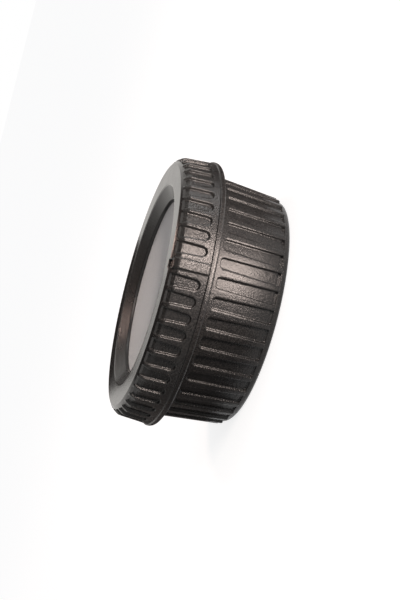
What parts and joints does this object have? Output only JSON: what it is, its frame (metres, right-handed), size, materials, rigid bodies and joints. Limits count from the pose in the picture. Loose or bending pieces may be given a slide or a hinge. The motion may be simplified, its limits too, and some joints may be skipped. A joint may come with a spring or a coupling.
{
  "type": "camera body cap on a lens rear cap",
  "caption": "Black plastic body cap for a camera's lens mount, locked by a bayonet twist onto the rear cap of a lens, both with a ring of grip pockets round the rim",
  "frame": {"origin": "centre of the ring that the rear cap stands on, on the caps' common axis", "axes": "+Z is the common axis, from the rear cap's closed base to the body cap's face; -Y passes through the index bar on the body cap's rim when the caps are locked"},
  "size_m": [0.062, 0.062, 0.0261],
  "materials": {
    "body_cap_plastic": "satin",
    "rear_cap_plastic": "satin"
  },
  "bodies": {
    "rear_cap": {"rear_cap": "rear_cap_plastic"},
    "body_cap": {"body_cap": "body_cap_plastic"}
  },
  "joints": [
    {"name": "bayonet_twist", "type": "hinge", "parent": "rear_cap", "child": "body_cap", "pos_m": [0, 0, 0.019], "axis": [0, 0, 1], "range_deg": [-60, 0]}
  ]
}
